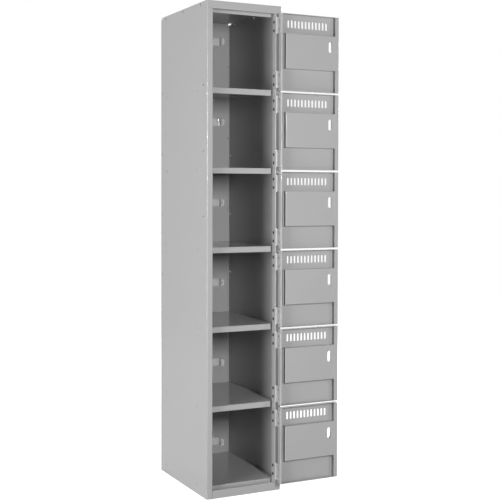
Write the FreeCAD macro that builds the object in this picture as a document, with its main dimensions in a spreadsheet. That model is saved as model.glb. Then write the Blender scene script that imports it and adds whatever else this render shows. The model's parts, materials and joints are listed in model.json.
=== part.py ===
import FreeCAD
import Part
import Sketcher

import os
import re

# A six-tier box locker of folded sheet steel, with its six inset doors folded flat open.
# +Z is up and the cabinet faces -Y. The origin is on the floor, at the centre of the cabinet's
# footprint. Lengths are in millimetres.

TIERS = 6  # compartments, one door each
VENTS = 12  # vent slots in a door
KNUCKLES = 5  # hinge knuckles, odd ones on the frame leaf and even ones on the door leaf
TOLERANCE = 1e-5

DIMENSIONS = {
    # cabinet
    "width": 304.8,
    "depth": 457.2,
    "height": 1828.8,
    "sheet": 1.2,  # thickness of every panel
    "bend": 2.4,  # outer radius of a fold
    "fascia_height": 28.8,
    "fascia_return": 14.0,
    "rail_height": 30.0,
    "rail_return": 14.0,
    "jamb_width": 23.0,
    "jamb_return": 26.0,
    "corner_strip": 4.0,  # what is left of the jamb beside the fascia
    "seam_flange": 16.0,
    "seam_offset": 9.0,  # from the top of a seam flange to its rivets
    "relief": 6.0,  # height of the notch where the folds of a top rear corner meet
    "relief_depth": 20.0,  # its length along the side
    "relief_width": 8.0,  # its length along the back
    "lip_height": 22.0,
    "lip_return": 10.0,
    "lip_end_gap": 7.0,  # from the end of a shelf lip to the jamb's return
    "notch_gap": 1.0,  # between the jamb's return and the shelf corner behind it
    # holes for bolting lockers to the floor, to each other and to a wall
    "floor_hole": 8.5,
    "floor_hole_spacing": 300.0,  # front to back
    "ganging_hole": 6.6,
    "ganging_front": 35.0,  # from the front
    "ganging_rear": 11.0,  # from the back
    "ganging_high": 8.0,  # above the highest shelf
    "ganging_low": 114.0,  # above the middle shelf
    "top_hole": 7.5,
    "top_hole_front": 62.0,  # from the front
    "top_hole_rear": 51.0,  # from the back
    "anchor_hole": 9.0,
    "anchor_spacing": 120.0,
    "anchor_drop": 128.8,  # from the top
    # doors
    "door_depth": 22.0,
    "door_end_gap": 3.5,  # above and below a shut door
    "hinge_gap": 4.0,  # between a shut door and the jamb's return
    "latch_gap": 6.0,
    "stop_gap": 2.0,  # between a shut door and the lips that stop it
    "hinge_lip": 6.0,
    "latch_lip": 16.0,
    "vent_width": 7.0,
    "vent_height": 28.0,
    "vent_pitch": 14.9,
    "vent_inset": 40.0,  # from the hinge edge to the first slot's middle
    "vent_drop": 22.0,  # from the top of the door to the slots
    "pan_foot": 84.0,  # from the bottom of the door to the stiffener
    "pan_height": 132.0,
    "hook_gap": 2.8,  # between the hinge lip and the stiffener's hook
    "hook_width": 5.0,
    "hook_groove": 6.8,  # between the hook and the pan
    "pan_tuck": 8.0,  # length of the stiffener under the latch lip
    "pan_flange": 12.0,
    # padlock eyes
    "hasp_sheet": 2.6,
    "hasp_height": 26.0,
    "hasp_level": 173.0,  # from the bottom of the door to the eye's middle
    "hasp_reach": 38.7,  # from the jamb's edge to the tab
    "hasp_nose": 10.0,  # length of the tab in front of a shut door
    "hasp_nose_radius": 11.0,
    "hasp_bend": 7.0,  # outer radius of the fold beside the tab
    "hasp_heel": 3.4,  # outer radius of the fold behind the jamb
    "hasp_flange": 20.0,
    "hasp_rivet_spacing": 14.0,
    "eye_width": 11.0,
    "eye_height": 9.0,
    "eye_lead": 4.0,  # the eye starts this far behind the shut door's face
    "slot_latch_clearance": 1.9,
    "slot_hinge_clearance": 9.5,
    "slot_end_clearance": 7.5,
    "slot_flare": 10.0,  # what the slot in the skin is wider than the one in the stiffener
    "slot_rise": 6.0,  # what it is longer at each end
    # hinges
    "pin_forward": 11.5,  # from the front of the jamb to the pin
    "hinge_height": 61.0,
    "hinge_inset": 43.0,  # from the end of the door to the middle of the hinge
    "leaf_sheet": 1.6,
    "frame_leaf_depth": 22.0,
    "door_leaf_depth": 18.0,
    "barrel_radius": 4.6,
    "barrel_clearance": 0.4,  # between a barrel and the other leaf
    "knuckle_gap": 0.3,
    "pin_radius": 2.5,
    "pin_clearance": 0.05,
    "pin_head_radius": 3.8,
    "pin_head": 1.2,
    "frame_rivet_depth": 13.0,  # from the front of the jamb
    "door_rivet_depth": 7.0,  # from the face of the door
    "leaf_rivet_spacing": 32.0,
    # rivets
    "rivet_radius": 2.0,
    "rivet_head_radius": 4.0,
    "rivet_head": 0.8,
    "frame_rivet_head_radius": 6.0,
    "seam_head_radius": 6.5,
    "seam_head": 1.8,
    "rivet_tail_radius": 2.9,
    "rivet_tail": 4.0,
    "rivet_bore": 1.2,
    "rivet_clearance": 0.1,
    "seam_rivet_front": 94.0,  # from the front of the cabinet
    "seam_rivet_rear": 60.0,  # from the back
}

# Places that several pieces share, as formulas of the dimensions.
LEFT = "(-width / 2)"
RIGHT = "(width / 2)"
FRONT = "(-depth / 2)"
BACK = "(depth / 2)"
HEAD = "(height - fascia_height)"
JAMB_EDGE = "(width / 2 - jamb_width)"
LIP_END = "(width / 2 - jamb_width - lip_end_gap)"
STOP_FACE = "(-depth / 2 + door_depth + stop_gap)"
BACK_FACE = "(depth / 2 - 2 * sheet)"
SHELF_FRONT = "(-depth / 2 + jamb_return + notch_gap)"
TIER_PITCH = f"(({HEAD} - rail_height) / {TIERS})"
DOOR_WIDTH = "(width - 2 * jamb_width - hinge_gap - latch_gap)"
DOOR_HEIGHT = f"({TIER_PITCH} - 2 * door_end_gap)"
HINGE_X = "(width / 2 - jamb_width - hinge_gap / 2)"
HINGE_Y = "(-depth / 2 - pin_forward)"
DOOR_FACE = f"(2 * {HINGE_Y} - {FRONT})"
HASP_EDGE = f"({LEFT} + jamb_width)"
NOTCH = (f"({LEFT} - sheet)", f"({LEFT} + relief_width)")
SLOT_WIDTH = "(slot_latch_clearance + hasp_sheet + slot_hinge_clearance)"
SLOT_LENGTH = "(hasp_height + 2 * slot_end_clearance)"
RIVET_HOLE = "(rivet_radius + rivet_clearance)"

X = FreeCAD.Vector(1, 0, 0)
Y = FreeCAD.Vector(0, 1, 0)
Z = FreeCAD.Vector(0, 0, 1)
ORIGIN = (-1, 1)  # the origin of a sketch, as a geometry and a point

doc = FreeCAD.newDocument("Locker")
pieces = {}


def fill_sheet():
    """The spreadsheet of driving dimensions, one named cell each."""
    sheet = doc.addObject("Spreadsheet::Sheet", "Dims")
    for row, (alias, value) in enumerate(DIMENSIONS.items(), 1):
        sheet.set(f"A{row}", alias)
        sheet.set(f"B{row}", str(value))
        sheet.setAlias(f"B{row}", alias)
    doc.recompute()


def bound(formula):
    """A formula as an expression that reads the spreadsheet."""
    return re.sub(r"[a-z][a-z_]+", lambda word: "Dims." + word.group(), str(formula))


def number(formula):
    """The value of a formula, for shapes that are built in code."""
    text = re.sub(r"[a-z][a-z_]+", lambda word: str(DIMENSIONS[word.group()]), str(formula))
    return FreeCAD.Units.Quantity(text).Value


def bind(item, **formulas):
    for name, formula in formulas.items():
        item.setExpression(name.replace("__", "."), bound(formula))
    return item


def put(item, x="0", y="0", z="0"):
    return bind(item, Placement__Base__x=x, Placement__Base__y=y, Placement__Base__z=z)


def keep(node, item):
    """Name a finished sub-part after its node."""
    item.Label = node
    pieces[node] = item
    return item


def door_bottom(n):
    """Height of the bottom of door n, counted from the top."""
    return f"(rail_height + {TIERS - n} * {TIER_PITCH} + door_end_gap)"


def shelf_top(level):
    """Height of the shelf above a number of compartments; the floor panel is level 0."""
    return f"(rail_height + {level} * {TIER_PITCH} + lip_height / 2)"


def hinge_bottoms():
    """Heights of a door's two hinges above its bottom."""
    lower = "(hinge_inset - hinge_height / 2)"
    upper = f"({DOOR_HEIGHT} - hinge_inset - hinge_height / 2)"
    return lower, upper


def seam_rivet_rows():
    """Places of the seam rivets along the depth."""
    return f"({FRONT} + seam_rivet_front)", f"({BACK} - seam_rivet_rear)"


def ganging_places():
    """Depths and heights of the bolt holes in a side panel; the rear row has one more at its foot."""
    low = f"({shelf_top(TIERS // 2)} + ganging_low)"
    high = f"({shelf_top(TIERS - 1)} + ganging_high)"
    front = f"({FRONT} + ganging_front)"
    rear = f"({BACK} - ganging_rear)"
    foot, *levels = [f"({low} + {step} * ({high} - {low}) / 2)" for step in range(-1, 3)]
    return [(y, z) for y in (front, rear) for z in levels] + [(rear, foot)]


# Solids from bound primitives


def block(x, y, z):
    """A box between two corners, as pairs of formulas."""
    box = doc.addObject("Part::Box", "Block")
    sizes = [f"{high} - ({low})" for low, high in (x, y, z)]
    bind(box, Length=sizes[0], Width=sizes[1], Height=sizes[2])
    return put(box, x[0], y[0], z[0])


def rod(radius, length, axis, x, y, z):
    """A cylinder that starts at a point and runs along an axis."""
    cylinder = doc.addObject("Part::Cylinder", "Rod")
    cylinder.Placement.Rotation = FreeCAD.Rotation(Z, axis)
    bind(cylinder, Radius=radius, Height=length)
    return put(cylinder, x, y, z)


def fuse(name, solids):
    union = doc.addObject("Part::MultiFuse", name)
    union.Shapes = solids
    union.Refine = True
    return union


def group(name, items):
    compound = doc.addObject("Part::Compound", name)
    compound.Links = items
    return compound


def cut(name, base, tools):
    result = doc.addObject("Part::Cut", name)
    result.Base = base
    result.Tool = tools[0] if len(tools) == 1 else fuse(f"{name}_tools", tools)
    result.Refine = True
    return result


def edges_on(shape, line):
    """Numbers of the edges that lie on a line or plane, given by formulas for its coordinates."""
    found = []
    for index, edge in enumerate(shape.Edges, 1):
        ends = [vertex.Point for vertex in edge.Vertexes]
        if all(abs(getattr(end, axis) - number(f)) < TOLERANCE for end in ends for axis, f in line.items()):
            found.append(index)
    return found


def fold(name, base, bends):
    """Round the edges of a folded sheet; each bend is a radius and the line of its edge."""
    doc.recompute()
    result = doc.addObject("Part::Fillet", name)
    result.Base = base
    picked = []
    for radius, line in bends:
        found = edges_on(base.Shape, line)
        if not found:
            raise RuntimeError(f"{name} has no edge on {line}")
        picked += [(index, number(radius), number(radius)) for index in found]
    result.Edges = picked
    return result


def mirrored(pair):
    """A pair of x formulas on the other side of the cabinet."""
    low, high = pair
    return f"(-({high}))", f"(-({low}))"


def both_sides(x, y, z):
    return [block(x, y, z), block(mirrored(x), y, z)]


# Rivets, which are groups of copies of one solid


def flat_head(radius, height):
    """A rivet's head with a flat top, on z = 0."""
    return Part.makeCylinder(number(radius), number(height))


def domed_head(radius, height):
    """A rivet's head with a round top, on z = 0."""
    rise = number(height)
    ball = number(f"({radius} * {radius} + {height} * {height}) / (2 * {height})")
    return Part.makeSphere(ball, (rise - ball) * Z).common(flat_head(radius, height))


def rivet(grip, head):
    """A tubular rivet along Z whose head rests on z = 0 and whose tail closes on z = -grip."""
    depth = number(grip)
    shank = Part.makeCylinder(number("rivet_radius"), depth, -depth * Z)
    tail_height = number("rivet_tail")
    foot = -(depth + tail_height) * Z
    tail = Part.makeCylinder(number("rivet_tail_radius"), tail_height, foot)
    bore = Part.makeCylinder(number("rivet_bore"), depth + tail_height + head.BoundBox.ZMax, foot)
    return head.fuse([shank, tail]).cut(bore).removeSplitter()


def rivets(node, shape, places):
    """A node of rivets; each place is the foot of the head and the way that the head points."""
    copies = []
    for point, axis in places:
        copy = shape.copy()
        where = FreeCAD.Vector(*[number(formula) for formula in point])
        copy.Placement = FreeCAD.Placement(where, FreeCAD.Rotation(Z, axis))
        copies.append(copy)
    item = doc.addObject("Part::Feature", node)
    item.Shape = Part.makeCompound(copies)
    item.Placement = FreeCAD.Placement()
    return keep(node, item)


# Cabinet


def seam_holes(x, top):
    """Holes for the seam rivets of one level, across one side."""
    level = f"({top} - seam_offset)"
    return [rod(RIVET_HOLE, "4 * sheet", X, x, y, level) for y in seam_rivet_rows()]


def top_holes(x):
    """Bolt holes along the top of one side, through the side panel and the top panel's flange."""
    depths = (f"({FRONT} + top_hole_front)", "0", f"({BACK} - top_hole_rear)")
    return [rod("top_hole / 2", "4 * sheet", X, x, y, "(height - seam_offset)") for y in depths]


def corner_notch(x, top):
    """The notch up to a height where the folds of a top rear corner meet."""
    return block(x, (f"({BACK} - relief_depth)", f"({BACK} + sheet)"), ("(height - relief)", top))


def side_panel(node, is_left):
    """A side panel with its jamb, the jamb's return, a rear flange and a foot flange."""

    def at(x):
        return x if is_left else f"(-({x}))"

    def between(low, high):
        return (low, high) if is_left else mirrored((low, high))

    inside = f"({LEFT} + sheet)"
    behind = f"({FRONT} + sheet)"
    return_back = f"({HASP_EDGE} - sheet)"
    flange = between(LEFT, f"({LEFT} + seam_flange)")
    solids = [
        block(between(LEFT, inside), (FRONT, BACK), ("0", "height")),
        block(between(LEFT, f"({LEFT} + corner_strip)"), (FRONT, behind), ("0", "height")),
        block(between(LEFT, HASP_EDGE), (FRONT, behind), ("0", HEAD)),
        block(between(return_back, HASP_EDGE), (FRONT, f"({FRONT} + jamb_return)"), ("0", HEAD)),
        block(flange, (f"({BACK} - sheet)", BACK), ("0", "height")),
        block(flange, (SHELF_FRONT, BACK), ("0", "sheet")),
    ]
    folded = fold(f"{node}_folded", fuse(f"{node}_sheet", solids), [
        ("bend", {"x": at(LEFT), "y": FRONT}),
        ("bend - sheet", {"x": at(inside), "y": behind}),
        ("bend", {"x": at(HASP_EDGE), "y": FRONT}),
        ("bend - sheet", {"x": at(return_back), "y": behind}),
        ("bend", {"x": at(LEFT), "y": BACK}),
    ])
    start = f"({LEFT} - sheet)" if is_left else f"({RIGHT} - 3 * sheet)"
    holes = []
    for level in range(TIERS):
        holes += seam_holes(start, shelf_top(level))
    holes += top_holes(start)
    holes += [rod("ganging_hole / 2", "4 * sheet", X, start, y, z) for y, z in ganging_places()]
    foot_x = at(f"({LEFT} + (sheet + seam_flange) / 2)")
    for y in ("(-floor_hole_spacing / 2)", "(floor_hole_spacing / 2)"):
        holes.append(rod("floor_hole / 2", "4 * sheet", Z, foot_x, y, "(-sheet)"))
    rear = (at(f"({LEFT} + seam_flange / 2)"), f"({BACK} - 3 * sheet)")
    holes += [rod(RIVET_HOLE, "4 * sheet", Y, *rear, z) for z in rear_rivet_levels()]
    holes += hasp_rivet_holes() if is_left else hinge_rivet_holes()
    holes.append(corner_notch(between(*NOTCH), "height"))
    return keep(node, cut(node, folded, holes))


def hasp_rivet_places():
    """Heights and depth of the rivets that hold the padlock eyes to the left jamb."""
    y = f"({FRONT} + jamb_return - hasp_flange / 2)"
    levels = []
    for n in range(1, TIERS + 1):
        for half in ("-", "+"):
            levels.append(f"({door_bottom(n)} + hasp_level {half} hasp_rivet_spacing / 2)")
    return y, levels


def hasp_rivet_holes():
    y, levels = hasp_rivet_places()
    return [rod(RIVET_HOLE, "4 * sheet", X, f"({HASP_EDGE} - 2 * sheet)", y, z) for z in levels]


def leaf_rivet_levels():
    """Heights of a door's hinge rivets above its bottom."""
    levels = []
    for bottom in hinge_bottoms():
        for half in ("-", "+"):
            levels.append(f"({bottom} + hinge_height / 2 {half} leaf_rivet_spacing / 2)")
    return levels


def hinge_rivet_holes():
    y = f"({FRONT} + frame_rivet_depth)"
    holes = []
    for n in range(1, TIERS + 1):
        for level in leaf_rivet_levels():
            z = f"({door_bottom(n)} + {level})"
            holes.append(rod(RIVET_HOLE, "4 * sheet", X, f"({JAMB_EDGE} - sheet)", y, z))
    return holes


def rear_rivet_levels():
    """Heights of the rivets between the back panel and a side panel, one behind each compartment."""
    return [f"(rail_height + {level + 0.5} * {TIER_PITCH})" for level in range(TIERS)]


def back_panel():
    plate = block(
        (f"({LEFT} + sheet)", f"({RIGHT} - sheet)"),
        (BACK_FACE, f"({BACK} - sheet)"),
        ("sheet", "(height - sheet)"),
    )
    start = f"({BACK} - 3 * sheet)"
    holes = []
    for x in (f"({LEFT} + seam_flange / 2)", f"({RIGHT} - seam_flange / 2)"):
        holes += [rod(RIVET_HOLE, "4 * sheet", Y, x, start, z) for z in rear_rivet_levels()]
    for x in ("(-anchor_spacing / 2)", "(anchor_spacing / 2)"):
        holes.append(rod("anchor_hole / 2", "4 * sheet", Y, x, start, "(height - anchor_drop)"))
    holes += [corner_notch(x, "height") for x in (NOTCH, mirrored(NOTCH))]
    return keep("back_panel", cut("back_panel", plate, holes))


def seam_flanges(top):
    """Turned-down flanges of a level along both side panels and the back panel."""
    z = (f"({top} - seam_flange)", top)
    flanges = both_sides((f"({LEFT} + sheet)", f"({LEFT} + 2 * sheet)"), (SHELF_FRONT, BACK_FACE), z)
    across = (f"({LEFT} + sheet)", f"({RIGHT} - sheet)")
    flanges.append(block(across, (f"({BACK_FACE} - sheet)", BACK_FACE), z))
    return flanges


def top_panel():
    """The top sheet with its fascia, the fascia's return and its seam flanges."""
    across = (f"({LEFT} + sheet)", f"({RIGHT} - sheet)")
    fascia = (f"({LEFT} + corner_strip)", f"({RIGHT} - corner_strip)")
    top = ("(height - sheet)", "height")
    solids = [
        block(across, (f"({FRONT} + bend)", f"({BACK} - sheet)"), top),
        block(fascia, (FRONT, f"({FRONT} + bend)"), top),
        block(fascia, (FRONT, f"({FRONT} + sheet)"), (HEAD, "height")),
        block(fascia, (FRONT, f"({FRONT} + fascia_return)"), (HEAD, f"({HEAD} + sheet)")),
    ]
    sheet = fuse("top_panel_sheet", solids + seam_flanges("height"))
    folded = fold("top_panel_folded", sheet, [
        ("bend", {"y": FRONT, "z": "height"}),
        ("bend", {"y": FRONT, "z": HEAD}),
    ])
    holes = top_holes(f"({LEFT} - sheet)") + top_holes(f"({RIGHT} - 3 * sheet)")
    holes += [corner_notch(x, "(height - sheet)") for x in (NOTCH, mirrored(NOTCH))]
    return keep("top_panel", cut("top_panel", folded, holes))


def top_stop_rail():
    """The rail behind the fascia that stops the top door."""
    across = (f"(-{LIP_END})", LIP_END)
    bottom = f"({HEAD} - lip_height / 2)"
    under = "(height - sheet)"
    solids = [
        block(across, (STOP_FACE, f"({STOP_FACE} + sheet)"), (bottom, under)),
        block(across, (STOP_FACE, f"({STOP_FACE} + seam_flange)"), (f"({under} - sheet)", under)),
        block(across, (STOP_FACE, f"({STOP_FACE} + lip_return)"), (bottom, f"({bottom} + sheet)")),
    ]
    rail = fuse("top_stop_rail_sheet", solids)
    return keep("top_stop_rail", fold("top_stop_rail", rail, [("bend", {"y": STOP_FACE, "z": bottom})]))


def base_rail():
    """The rail along the floor between the jambs, with its returns and its end flanges."""
    across = (f"(-{JAMB_EDGE})", JAMB_EDGE)
    returns = (FRONT, f"({FRONT} + rail_return)")
    solids = [
        block(across, (FRONT, f"({FRONT} + sheet)"), ("0", "rail_height")),
        block(across, returns, ("(rail_height - sheet)", "rail_height")),
        block(across, returns, ("0", "sheet")),
    ]
    solids += both_sides((f"(-{JAMB_EDGE})", f"(sheet - {JAMB_EDGE})"), returns, ("0", "rail_height"))
    rail = fuse("base_rail_sheet", solids)
    return keep("base_rail", fold("base_rail", rail, [("bend", {"y": FRONT, "z": "rail_height"})]))


def shelf(node, level):
    """A shelf, or the floor panel at level 0, with its front lip and its seam flanges."""
    lip = (f"(-{LIP_END})", LIP_END)
    across = (f"({LEFT} + sheet)", f"({RIGHT} - sheet)")
    solids = [
        block(across, (SHELF_FRONT, BACK_FACE), ("-sheet", "0")),
        block(lip, (STOP_FACE, SHELF_FRONT), ("-sheet", "0")),
        block(lip, (STOP_FACE, f"({STOP_FACE} + sheet)"), ("-lip_height", "0")),
        block(lip, (STOP_FACE, f"({STOP_FACE} + lip_return)"), ("-lip_height", "(sheet - lip_height)")),
    ]
    folded = fold(f"{node}_folded", fuse(f"{node}_sheet", solids + seam_flanges("0")), [
        ("bend", {"y": STOP_FACE, "z": "0"}),
        ("bend", {"y": STOP_FACE, "z": "-lip_height"}),
    ])
    holes = seam_holes(f"({LEFT} - sheet)", "0") + seam_holes(f"({RIGHT} - 3 * sheet)", "0")
    return keep(node, put(cut(node, folded, holes), z=shelf_top(level)))


def hasp(n):
    """A padlock eye: a flange behind the left jamb, a base and a tab that points forward."""
    node = f"hasp_{n}"
    hidden = f"({HASP_EDGE} - sheet - hasp_sheet)"
    tab = f"({HASP_EDGE} + hasp_reach)"
    base_front = f"({FRONT} + jamb_return)"
    base_back = f"({base_front} + hasp_sheet)"
    nose = f"({FRONT} - hasp_nose)"
    z = ("(-hasp_height / 2)", "(hasp_height / 2)")
    solids = [
        block((hidden, f"({HASP_EDGE} - sheet)"), (f"({base_front} - hasp_flange)", base_back), z),
        block((hidden, f"({tab} + hasp_sheet)"), (base_front, base_back), z),
        block((tab, f"({tab} + hasp_sheet)"), (nose, base_back), z),
    ]
    folded = fold(f"{node}_folded", fuse(f"{node}_sheet", solids), [
        ("hasp_bend", {"x": f"({tab} + hasp_sheet)", "y": base_back}),
        ("hasp_bend - hasp_sheet", {"x": tab, "y": base_front}),
        ("hasp_heel", {"x": hidden, "y": base_back}),
        ("hasp_nose_radius", {"y": nose, "z": z[0]}),
        ("hasp_nose_radius", {"y": nose, "z": z[1]}),
    ])
    start = f"({tab} - hasp_sheet)"
    eye_back = f"({FRONT} + eye_lead - eye_height / 2)"
    eye_front = f"({FRONT} + eye_lead - eye_width + eye_height / 2)"
    holes = [rod("eye_height / 2", "3 * hasp_sheet", X, start, y, "0") for y in (eye_front, eye_back)]
    holes.append(block(
        (start, f"({start} + 3 * hasp_sheet)"),
        (eye_front, eye_back),
        ("(-eye_height / 2)", "(eye_height / 2)"),
    ))
    rivet_y = hasp_rivet_places()[0]
    for half in ("-", ""):
        z_rivet = f"({half}hasp_rivet_spacing / 2)"
        holes.append(rod(RIVET_HOLE, "3 * hasp_sheet", X, f"({hidden} - hasp_sheet)", rivet_y, z_rivet))
    return keep(node, put(cut(node, folded, holes), z=f"({door_bottom(n)} + hasp_level)"))


def cabinet_rivets():
    seam = []
    for level in range(TIERS):
        for y in seam_rivet_rows():
            z = f"({shelf_top(level)} - seam_offset)"
            seam += [((LEFT, y, z), -X), ((RIGHT, y, z), X)]
    rivets("seam_rivets", rivet("2 * sheet", domed_head("seam_head_radius", "seam_head")), seam)
    small = domed_head("rivet_head_radius", "rivet_head")
    rear = []
    for x in (f"({LEFT} + seam_flange / 2)", f"({RIGHT} - seam_flange / 2)"):
        rear += [((x, BACK, z), Y) for z in rear_rivet_levels()]
    rivets("back_rivets", rivet("2 * sheet", small), rear)
    y, levels = hasp_rivet_places()
    held = [((HASP_EDGE, y, z), X) for z in levels]
    rivets("hasp_rivets", rivet("sheet + hasp_sheet", small), held)


# Hinges, two to a door, with the door leaf folded back beside the frame leaf


def knuckle_cuts(bottom, numbers):
    """Room for the other leaf's knuckles."""
    reach = "(barrel_radius + barrel_clearance)"
    step = f"(hinge_height / {KNUCKLES})"
    cuts = []
    for index in numbers:
        low = f"({bottom} + {index} * {step} - knuckle_gap / 2)"
        high = f"({bottom} + {index + 1} * {step} + knuckle_gap / 2)"
        x = (f"({HINGE_X} - {reach})", f"({HINGE_X} + {reach})")
        y = (f"({HINGE_Y} - {reach})", f"({HINGE_Y} + {reach})")
        cuts.append(block(x, y, (low, high)))
    return cuts


def hinge_leaf(name, bottom, on_frame):
    """One hinge leaf: a plate on the jamb's return or the door's edge, and its knuckles."""
    z = (bottom, f"({bottom} + hinge_height)")
    x = (f"({JAMB_EDGE} - leaf_sheet)", JAMB_EDGE)
    if on_frame:
        y = (HINGE_Y, f"({FRONT} + frame_leaf_depth)")
        rivet_y = f"({FRONT} + frame_rivet_depth)"
        head_radius = "frame_rivet_head_radius"
    else:
        y = (f"({DOOR_FACE} - door_leaf_depth)", HINGE_Y)
        rivet_y = f"({DOOR_FACE} - door_rivet_depth)"
        head_radius = "rivet_head_radius"
    barrel = rod("barrel_radius", "hinge_height", Z, HINGE_X, HINGE_Y, bottom)
    leaf = fuse(f"{name}_blank", [block(x, y, z), barrel])
    others = range(1, KNUCKLES, 2) if on_frame else range(0, KNUCKLES, 2)
    cuts = knuckle_cuts(bottom, others)
    bore = "(pin_radius + pin_clearance)"
    cuts.append(rod(bore, "hinge_height", Z, HINGE_X, HINGE_Y, bottom))
    for half in ("-", "+"):
        level = f"({bottom} + hinge_height / 2 {half} leaf_rivet_spacing / 2)"
        cuts.append(rod(RIVET_HOLE, "2 * leaf_sheet", X, x[0], rivet_y, level))
        cuts.append(rod(f"({head_radius} + rivet_clearance)", "rivet_head", X, x[0], rivet_y, level))
    return cut(name, leaf, cuts)


def hinge_pin(name, bottom):
    """A pin with a head at each end."""
    top = f"({bottom} + hinge_height)"
    return fuse(name, [
        rod("pin_radius", "hinge_height", Z, HINGE_X, HINGE_Y, bottom),
        rod("pin_head_radius", "pin_head", Z, HINGE_X, HINGE_Y, f"({bottom} - pin_head)"),
        rod("pin_head_radius", "pin_head", Z, HINGE_X, HINGE_Y, top),
    ])


def hinges(n):
    """The frame leaves, pins and door leaves of door n."""
    for node, make in (
        (f"hinge_frame_leaf_{n}", lambda name, bottom: hinge_leaf(name, bottom, True)),
        (f"hinge_door_leaf_{n}", lambda name, bottom: hinge_leaf(name, bottom, False)),
        (f"hinge_pin_{n}", hinge_pin),
    ):
        pair = [make(f"{node}_{place}", bottom) for place, bottom in zip(("lower", "upper"), hinge_bottoms())]
        keep(node, put(group(node, pair), z=door_bottom(n)))


def leaf_rivets():
    """Rivets of the hinge leaves, with heads set flush into the leaves."""
    grip = "leaf_sheet + sheet - rivet_head"
    door_rivet = rivet(grip, flat_head("rivet_head_radius", "rivet_head"))
    frame_rivet = rivet(grip, flat_head("frame_rivet_head_radius", "rivet_head"))
    head = f"({JAMB_EDGE} - leaf_sheet + rivet_head)"
    on_frame = []
    for n in range(1, TIERS + 1):
        levels = [f"({door_bottom(n)} + {level})" for level in leaf_rivet_levels()]
        on_frame += [((head, f"({FRONT} + frame_rivet_depth)", z), -X) for z in levels]
        on_door = [((head, f"({DOOR_FACE} - door_rivet_depth)", z), -X) for z in levels]
        rivets(f"door_hinge_rivets_{n}", door_rivet, on_door)
    rivets("frame_hinge_rivets", frame_rivet, on_frame)


# Doors, each in its own frame: x from the hinge edge, y from the outer face, z from the bottom


def new_sketch(body, name, plane, offset):
    """An empty sketch on one of the body's own planes, moved along the plane's normal."""
    sketch = body.newObject("Sketcher::SketchObject", name)
    support = [feature for feature in body.Origin.OriginFeatures if feature.Role == plane]
    sketch.AttachmentSupport = [(support[0], "")]
    sketch.MapMode = "FlatFace"
    return bind(sketch, AttachmentOffset__Base__z=offset)


def measure(sketch, kind, first, second, formula):
    """A named distance between two points of a sketch, bound to a formula."""
    index = sketch.addConstraint(Sketcher.Constraint(kind, *first, *second, number(formula)))
    name = f"size_{index}"
    sketch.renameConstraint(index, name)
    sketch.setExpression(f"Constraints.{name}", bound(formula))


def add_rectangle(sketch, x, y):
    """A rectangle whose corners are set by formulas."""
    low = [number(pair[0]) for pair in (x, y)]
    high = [number(pair[1]) for pair in (x, y)]
    corners = [(low[0], low[1]), (high[0], low[1]), (high[0], high[1]), (low[0], high[1])]
    points = [FreeCAD.Vector(a, b, 0) for a, b in corners]
    lines = [sketch.addGeometry(Part.LineSegment(points[i], points[(i + 1) % 4])) for i in range(4)]
    for i in range(4):
        sketch.addConstraint(Sketcher.Constraint("Coincident", lines[i], 2, lines[(i + 1) % 4], 1))
        kind = "Horizontal" if i % 2 == 0 else "Vertical"
        sketch.addConstraint(Sketcher.Constraint(kind, lines[i]))
    for kind, pair in (("DistanceX", x), ("DistanceY", y)):
        measure(sketch, kind, ORIGIN, (lines[0], 1), pair[0])
        measure(sketch, kind, ORIGIN, (lines[2], 1), pair[1])


def add_slot(sketch, x, bottom, width, length):
    """An upright slot with round ends, centred on x."""
    radius = number(f"{width} / 2")
    low = number(f"{bottom} + {width} / 2")
    high = number(f"{bottom} + {length} - {width} / 2")
    middle = number(x)
    centre = [FreeCAD.Vector(middle, height, 0) for height in (low, high)]
    half_turn = FreeCAD.Units.Quantity("180 deg").getValueAs("rad").Value
    top = sketch.addGeometry(Part.ArcOfCircle(Part.Circle(centre[1], Z, radius), 0, half_turn))
    left = sketch.addGeometry(Part.LineSegment(centre[1] - radius * X, centre[0] - radius * X))
    foot = sketch.addGeometry(Part.ArcOfCircle(Part.Circle(centre[0], Z, radius), half_turn, 2 * half_turn))
    right = sketch.addGeometry(Part.LineSegment(centre[0] + radius * X, centre[1] + radius * X))
    ring = (top, left, foot, right)
    for i in range(4):
        sketch.addConstraint(Sketcher.Constraint("Tangent", ring[i], 2, ring[(i + 1) % 4], 1))
    sketch.addConstraint(Sketcher.Constraint("Vertical", left))
    measure(sketch, "DistanceX", ORIGIN, (foot, 3), x)
    measure(sketch, "DistanceY", ORIGIN, (foot, 3), f"({bottom} + {width} / 2)")
    measure(sketch, "DistanceY", (foot, 3), (top, 3), f"({length} - {width})")
    measure(sketch, "DistanceX", (left, 2), (right, 1), width)


def add_round_hole(sketch, x, y, radius):
    """A circle whose centre and radius are set by formulas."""
    centre = FreeCAD.Vector(number(x), number(y), 0)
    circle = sketch.addGeometry(Part.Circle(centre, Z, number(radius)))
    measure(sketch, "DistanceX", ORIGIN, (circle, 3), x)
    measure(sketch, "DistanceY", ORIGIN, (circle, 3), y)
    measure(sketch, "Radius", (circle,), (), radius)


def extrude(body, kind, sketch, length, flipped=False):
    feature = body.newObject(f"PartDesign::{kind}", f"{sketch.Name}_{kind}")
    feature.Profile = sketch
    feature.Reversed = flipped
    bind(feature, Length=length)
    body.Tip = feature
    return feature


def hasp_slot():
    """The x of the middle and the height of the foot of the slot for the padlock eye."""
    latch_side = f"({DOOR_WIDTH} - hasp_reach + latch_gap + slot_latch_clearance)"
    return f"({latch_side} - {SLOT_WIDTH} / 2)", f"(hasp_level - {SLOT_LENGTH} / 2)"


def place_on_door(item, n):
    return put(item, JAMB_EDGE, DOOR_FACE, door_bottom(n))


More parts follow.
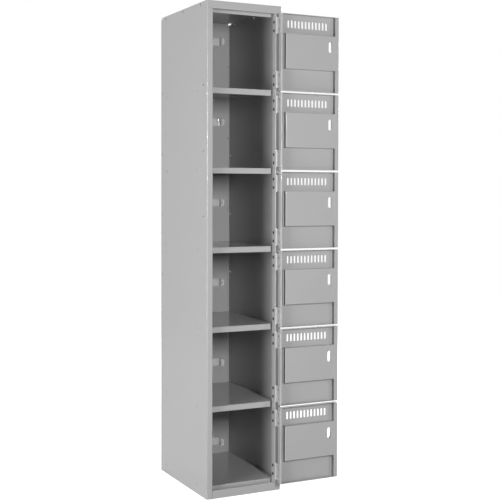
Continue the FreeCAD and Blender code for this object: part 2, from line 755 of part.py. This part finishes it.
def door_panel(n):
    """A door tray: skin, four edges, two side lips, vent slots, padlock slot and rivet holes."""
    node = f"door_panel_{n}"
    body = doc.addObject("PartDesign::Body", node)
    full = ("0", DOOR_HEIGHT)

    outline = new_sketch(body, "outline", "XZ_Plane", "0")
    add_rectangle(outline, ("0", DOOR_WIDTH), full)
    blank = extrude(body, "Pad", outline, "door_depth")
    doc.recompute()

    folds = body.newObject("PartDesign::Fillet", "folds")
    corners = edges_on(blank.Shape, {"y": "0"})
    for x in ("0", DOOR_WIDTH):
        corners += edges_on(blank.Shape, {"x": x, "y": "-door_depth"})
    folds.Base = (blank, [f"Edge{index}" for index in corners])
    bind(folds, Radius="bend")
    body.Tip = folds

    inside = new_sketch(body, "inside", "XZ_Plane", "sheet")
    add_rectangle(inside, ("sheet", f"({DOOR_WIDTH} - sheet)"), ("sheet", f"({DOOR_HEIGHT} - sheet)"))
    extrude(body, "Pocket", inside, "door_depth - 2 * sheet", flipped=True)

    mouth = new_sketch(body, "mouth", "XZ_Plane", "(door_depth - sheet)")
    add_rectangle(mouth, ("hinge_lip", f"({DOOR_WIDTH} - latch_lip)"), ("sheet", f"({DOOR_HEIGHT} - sheet)"))
    extrude(body, "Pocket", mouth, "2 * sheet", flipped=True)

    slot = new_sketch(body, "slot", "XZ_Plane", "0")
    middle, bottom = hasp_slot()
    width = f"({SLOT_WIDTH} + slot_flare)"
    length = f"({SLOT_LENGTH} + 2 * slot_rise)"
    add_slot(slot, f"({middle} + slot_flare / 2)", f"({bottom} - slot_rise)", width, length)
    extrude(body, "Pocket", slot, "sheet", flipped=True)

    holes = new_sketch(body, "rivet_holes", "YZ_Plane", "0")
    for level in leaf_rivet_levels():
        add_round_hole(holes, "-door_rivet_depth", level, RIVET_HOLE)
    extrude(body, "Pocket", holes, "2 * sheet", flipped=True)

    vent = new_sketch(body, "vent", "XZ_Plane", "0")
    vent_bottom = f"({DOOR_HEIGHT} - vent_drop - vent_height)"
    add_slot(vent, "vent_inset", vent_bottom, "vent_width", "vent_height")
    first = extrude(body, "Pocket", vent, "sheet", flipped=True)
    vents = body.newObject("PartDesign::LinearPattern", "vents")
    vents.Originals = [first]
    vents.Direction = (vent, ["H_Axis"])
    vents.Occurrences = VENTS
    bind(vents, Length=f"{VENTS - 1} * vent_pitch")
    body.Tip = vents
    return keep(node, place_on_door(body, n))


def door_stiffener(n):
    """The pan across a door, with a hook beside the hinge lip and an end tucked under the latch lip."""
    node = f"door_stiffener_{n}"
    hook = ("(hinge_lip + hook_gap)", "(hinge_lip + hook_gap + hook_width)")
    x = (f"({hook[1]} + hook_groove)", f"({DOOR_WIDTH} - latch_lip + pan_tuck)")
    low = "pan_foot"
    high = "(pan_foot + pan_height)"
    y_face = ("(sheet - door_depth)", "(2 * sheet - door_depth)")
    y_wall = (y_face[0], "(-sheet)")
    y_foot = ("(-2 * sheet)", "(-sheet)")
    solids = [
        block(x, y_face, (low, high)),
        block(x, y_wall, (low, f"({low} + sheet)")),
        block(x, y_wall, (f"({high} - sheet)", high)),
        block((x[0], f"({x[0]} + sheet)"), y_wall, (low, high)),
        block((f"({hook[1]} - sheet)", f"({x[0]} + sheet)"), y_foot, (low, high)),
        block((f"({hook[1]} - sheet)", hook[1]), y_wall, (low, high)),
        block(hook, y_face, (low, high)),
        block(x, y_foot, (low, f"({low} + pan_flange)")),
        block(x, y_foot, (f"({high} - pan_flange)", high)),
    ]
    folded = fold(f"{node}_folded", fuse(f"{node}_sheet", solids), [
        ("bend", {"y": y_face[0], "z": low}),
        ("bend", {"y": y_face[0], "z": high}),
        ("bend", {"x": x[0], "y": y_face[0]}),
        ("bend", {"x": hook[1], "y": y_face[0]}),
    ])
    middle, bottom = hasp_slot()
    radius = f"({SLOT_WIDTH} / 2)"
    ends = (f"({bottom} + {radius})", f"({bottom} + {SLOT_LENGTH} - {radius})")
    slot = [rod(radius, "4 * sheet", Y, middle, "(-door_depth)", z) for z in ends]
    sides = (f"({middle} - {radius})", f"({middle} + {radius})")
    slot.append(block(sides, ("(-door_depth)", "(4 * sheet - door_depth)"), ends))
    return keep(node, place_on_door(cut(node, folded, slot), n))


def build():
    fill_sheet()
    side_panel("left_side_panel", True)
    side_panel("right_side_panel", False)
    back_panel()
    top_panel()
    top_stop_rail()
    base_rail()
    shelf("floor_panel", 0)
    for n in range(1, TIERS):
        shelf(f"shelf_{n}", TIERS - n)
    cabinet_rivets()
    for n in range(1, TIERS + 1):
        hasp(n)
        hinges(n)
        door_panel(n)
        door_stiffener(n)
    leaf_rivets()
    doc.recompute()


def check():
    """Stop if anything in the document failed."""
    for item in doc.Objects:
        if "Invalid" in item.State or "Error" in item.State:
            raise RuntimeError(f"{item.Label} failed: {item.State}")
    for node, item in pieces.items():
        if item.Label != node or item.Shape.isNull() or not item.Shape.isValid():
            raise RuntimeError(f"{node} has no valid shape")


def write():
    os.makedirs("parts", exist_ok=True)
    for node, item in pieces.items():
        item.Shape.exportStep(f"parts/{node}.step")
        box = item.Shape.BoundBox
        print(f"{node}: {len(item.Shape.Solids)} solids, {item.Shape.Volume:.0f} mm3, {box}")


build()
check()
write()
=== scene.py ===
import json
import math

import bpy
from mathutils import Matrix, Vector

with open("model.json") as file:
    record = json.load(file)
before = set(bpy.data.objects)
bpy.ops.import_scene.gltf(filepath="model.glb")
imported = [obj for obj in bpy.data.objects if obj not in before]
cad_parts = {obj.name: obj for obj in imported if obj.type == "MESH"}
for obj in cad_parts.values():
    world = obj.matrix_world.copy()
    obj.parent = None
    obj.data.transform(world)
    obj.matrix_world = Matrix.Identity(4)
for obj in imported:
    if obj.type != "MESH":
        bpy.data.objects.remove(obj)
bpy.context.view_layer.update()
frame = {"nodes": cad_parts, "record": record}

# Camera, solved from the photograph's perspective, with its place in metres and its angles in radians
PICTURE = 500  # pixels, the width and the height of the picture
FOCAL = 1020.83  # pixels
AXIS_V = 216.42  # pixels from the picture's top down to the optical axis
YAW = 0.46096
PITCH = 0.02413
ROLL = -0.00193
CAMERA_AT = Vector((-1.66792, -3.63186, 1.13152))
SENSOR = 36.0  # millimetres

# Finishes
PAINT = (0.37, 0.37, 0.37)
STEEL = (0.62, 0.62, 0.61)
# near black for the frame hinge rivets: painted shade for the dark dots on those leaves
RIVET_SHADE_BLACK = (0.012, 0.012, 0.013)
PAINT_TONES = (0.97, 1.03)  # the paint's darkest and lightest tone, as shares of its colour
PANEL_ROUGHNESS = (0.09, 0.13)  # limits of each finish's roughness
HINGE_ROUGHNESS = (0.34, 0.46)
STEEL_ROUGHNESS = (0.22, 0.36)
RIVET_SHADE_ROUGHNESS = (0.45, 0.60)
# low specular, so that the rivets' painted shade stays dark
RIVET_SHADE_SPECULAR = 0.2
SOFT_EDGE = 0.0006  # metres, how far the coat rounds a cut edge
PAINT_RELIEF = 0.00002  # metres, how deep each finish's relief is
METAL_RELIEF = 0.00001

# Noise: scale and detail of each texture
TONE_NOISE = (4.0, 3.0)
GLOSS_NOISE = (25.0, 3.0)
METAL_NOISE = (300.0, 3.0)
PAINT_GRAIN = (450.0, 2.0)
METAL_GRAIN = (900.0, 2.0)
NOISE_LOW = 0.3  # noise values that are taken as the lowest and the highest
NOISE_HIGH = 0.7

# Stage, in metres
WHITE = (1, 1, 1, 1)
FILL = 0.03  # light from all around
BACKDROP = 1.0  # the white that is seen all around
FLOOR_LEVEL = -0.0003  # a hair below the foot flanges
FLOOR_HALF = 20.0
FLOOR_GREY = 0.4
FLOOR_NEAR = 0.90  # glow of the floor beside the locker, which leaves room for its shadow
FLOOR_FAR = 1.0
GLOW_FROM = 0.6  # distances over which the glow rises
GLOW_TO = 3.0

# Lamps: place, target, and width and height in metres, then power in watts
LAMPS = {
    "front_light": ((-0.08, -3.2, 1.5), (0.05, -0.2, 0.9), (0.18, 0.65), 70.0),
    "left_light": ((-3.58, -1.25, 1.1), (-0.1, -0.2, 0.95), (1.7, 2.2), 138.0),
    "back_light": ((2.4, 2.5, 2.2), (0.1, 0.1, 1.0), (1.2, 1.2), 110.0),
    "top_light": ((0.0, 0.1, 2.9), (0.0, 0.1, 1.8), (0.5, 0.6), 9.0),
}


def add_camera():
    forward = Vector((
        math.sin(YAW) * math.cos(PITCH),
        math.cos(YAW) * math.cos(PITCH),
        -math.sin(PITCH),
    ))
    level = Vector((math.cos(YAW), -math.sin(YAW), 0.0))
    down = forward.cross(level)
    right = math.cos(ROLL) * level + math.sin(ROLL) * down
    up = math.sin(ROLL) * level - math.cos(ROLL) * down
    data = bpy.data.cameras.new("camera")
    data.sensor_width = SENSOR
    data.lens = FOCAL / PICTURE * SENSOR
    data.shift_y = (AXIS_V - PICTURE / 2) / PICTURE
    camera = bpy.data.objects.new("camera", data)
    turn = Matrix((right, up, -forward)).transposed().to_4x4()
    camera.matrix_world = Matrix.Translation(CAMERA_AT) @ turn
    bpy.context.scene.collection.objects.link(camera)
    bpy.context.scene.camera = camera


def add_lamp(name, at, target, size, power):
    data = bpy.data.lights.new(name, "AREA")
    data.shape = "RECTANGLE"
    data.size, data.size_y = size
    data.energy = power
    lamp = bpy.data.objects.new(name, data)
    lamp.location = at
    lamp.rotation_euler = (Vector(target) - Vector(at)).to_track_quat("-Z", "Y").to_euler()
    bpy.context.scene.collection.objects.link(lamp)


def new_material(name):
    material = bpy.data.materials.new(name)
    material.use_nodes = True
    tree = material.node_tree
    return material, tree, tree.nodes["Principled BSDF"]


def add_node(tree, kind, **inputs):
    node = tree.nodes.new(kind)
    for name, value in inputs.items():
        node.inputs[name.replace("_", " ")].default_value = value
    return node


def seen_rays(tree):
    """1 where a ray comes from the camera or by way of gloss or glass, and 0 for diffuse light."""
    path = tree.nodes.new("ShaderNodeLightPath")
    seen = path.outputs["Is Camera Ray"]
    for name in ("Is Glossy Ray", "Is Transmission Ray"):
        either = tree.nodes.new("ShaderNodeMath")
        either.operation = "MAXIMUM"
        tree.links.new(seen, either.inputs[0])
        tree.links.new(path.outputs[name], either.inputs[1])
        seen = either.outputs[0]
    return seen


def add_world():
    """White where it is seen, and a faint light from all around for the rest."""
    world = bpy.data.worlds.new("studio")
    world.use_nodes = True
    bpy.context.scene.world = world
    tree = world.node_tree
    tree.nodes.clear()
    fill = add_node(tree, "ShaderNodeBackground", Color=WHITE, Strength=FILL)
    white = add_node(tree, "ShaderNodeBackground", Color=WHITE, Strength=BACKDROP)
    mix = tree.nodes.new("ShaderNodeMixShader")
    output = tree.nodes.new("ShaderNodeOutputWorld")
    tree.links.new(seen_rays(tree), mix.inputs[0])
    tree.links.new(fill.outputs[0], mix.inputs[1])
    tree.links.new(white.outputs[0], mix.inputs[2])
    tree.links.new(mix.outputs[0], output.inputs["Surface"])


def add_floor():
    """A white floor that fades into the white around it and keeps a faint shadow near the locker."""
    mesh = bpy.data.meshes.new("floor")
    corners = [
        (x * FLOOR_HALF, y * FLOOR_HALF, FLOOR_LEVEL)
        for x, y in ((-1, -1), (1, -1), (1, 1), (-1, 1))
    ]
    mesh.from_pydata(corners, [], [(0, 1, 2, 3)])
    floor = bpy.data.objects.new("floor", mesh)
    bpy.context.scene.collection.objects.link(floor)
    material, tree, shader = new_material("floor")
    tree.nodes.remove(shader)
    grey = (FLOOR_GREY, FLOOR_GREY, FLOOR_GREY, 1)
    diffuse = add_node(tree, "ShaderNodeBsdfDiffuse", Color=grey)
    glow = add_node(tree, "ShaderNodeEmission", Color=WHITE)
    place = tree.nodes.new("ShaderNodeTexCoord")
    distance = tree.nodes.new("ShaderNodeVectorMath")
    distance.operation = "LENGTH"
    rise = add_node(
        tree, "ShaderNodeMapRange",
        From_Min=GLOW_FROM, From_Max=GLOW_TO, To_Min=FLOOR_NEAR, To_Max=FLOOR_FAR,
    )
    both = tree.nodes.new("ShaderNodeAddShader")
    mix = tree.nodes.new("ShaderNodeMixShader")
    tree.links.new(place.outputs["Object"], distance.inputs[0])
    tree.links.new(distance.outputs["Value"], rise.inputs["Value"])
    tree.links.new(rise.outputs["Result"], glow.inputs["Strength"])
    tree.links.new(diffuse.outputs[0], both.inputs[0])
    tree.links.new(glow.outputs[0], both.inputs[1])
    tree.links.new(seen_rays(tree), mix.inputs[0])
    tree.links.new(diffuse.outputs[0], mix.inputs[1])
    tree.links.new(both.outputs[0], mix.inputs[2])
    tree.links.new(mix.outputs[0], tree.nodes["Material Output"].inputs["Surface"])
    mesh.materials.append(material)


def noise(tree, scale, detail):
    """Noise in the locker's own frame, so that it runs on from piece to piece."""
    place = tree.nodes.new("ShaderNodeTexCoord")
    texture = add_node(tree, "ShaderNodeTexNoise", Scale=scale, Detail=detail)
    tree.links.new(place.outputs["Object"], texture.inputs["Vector"])
    return texture


def vary(tree, texture, socket, low, high):
    """Drive a shader's value with a texture, between two limits."""
    span = add_node(
        tree, "ShaderNodeMapRange",
        From_Min=NOISE_LOW, From_Max=NOISE_HIGH, To_Min=low, To_Max=high,
    )
    tree.links.new(texture.outputs["Fac"], span.inputs["Value"])
    tree.links.new(span.outputs["Result"], socket)


def rough_coat(tree, shader, grain, depth):
    """Fine relief on soft edges."""
    edge = add_node(tree, "ShaderNodeBevel", Radius=SOFT_EDGE)
    relief = add_node(tree, "ShaderNodeBump", Strength=1.0, Distance=depth)
    tree.links.new(noise(tree, *grain).outputs["Fac"], relief.inputs["Height"])
    tree.links.new(edge.outputs["Normal"], relief.inputs["Normal"])
    tree.links.new(relief.outputs["Normal"], shader.inputs["Normal"])


def paint_material(name, roughness):
    """Powder coat: slightly uneven in tone and gloss, with orange peel."""
    material, tree, shader = new_material(name)
    tone = tree.nodes.new("ShaderNodeMixRGB")
    for socket, share in zip(("Color1", "Color2"), PAINT_TONES):
        tone.inputs[socket].default_value = (*[share * value for value in PAINT], 1)
    tree.links.new(noise(tree, *TONE_NOISE).outputs["Fac"], tone.inputs["Fac"])
    tree.links.new(tone.outputs["Color"], shader.inputs["Base Color"])
    vary(tree, noise(tree, *GLOSS_NOISE), shader.inputs["Roughness"], *roughness)
    rough_coat(tree, shader, PAINT_GRAIN, PAINT_RELIEF)
    return material


def steel_material():
    """Bright zinc plate, a little cloudy."""
    material, tree, shader = new_material("zinc_plate")
    shader.inputs["Base Color"].default_value = (*STEEL, 1)
    shader.inputs["Metallic"].default_value = 1.0
    vary(tree, noise(tree, *METAL_NOISE), shader.inputs["Roughness"], *STEEL_ROUGHNESS)
    rough_coat(tree, shader, METAL_GRAIN, METAL_RELIEF)
    return material


def painted_shade_material():
    """Near black, as painted shade for the dark dots on the frame hinge leaves, with a dull sheen."""
    material, tree, shader = new_material("painted_shade_black")
    shader.inputs["Base Color"].default_value = (*RIVET_SHADE_BLACK, 1)
    shader.inputs["Specular IOR Level"].default_value = RIVET_SHADE_SPECULAR
    vary(tree, noise(tree, *METAL_NOISE), shader.inputs["Roughness"], *RIVET_SHADE_ROUGHNESS)
    rough_coat(tree, shader, METAL_GRAIN, METAL_RELIEF)
    return material


def dress():
    """Give every piece its finish, with duller paint on the rolled hinge leaves than on flat sheet."""
    hinge_paint = paint_material("hinge_paint", HINGE_ROUGHNESS)
    finishes = {
        "paint": paint_material("grey_paint", PANEL_ROUGHNESS),
        "steel": steel_material(),
        # the black slot gets the near-black painted shade of the frame hinge rivets
        "black": painted_shade_material(),
    }
    for row in frame["record"]["subparts"]:
        mesh = frame["nodes"][row["node"]].data
        mesh.materials.clear()
        is_leaf = row["node"].startswith("hinge_") and "_leaf_" in row["node"]
        mesh.materials.append(hinge_paint if is_leaf else finishes[row["material_slot"]])


bpy.context.scene.view_settings.view_transform = "Standard"
add_camera()
add_world()
add_floor()
for lamp_name, settings in LAMPS.items():
    add_lamp(lamp_name, *settings)
dress()
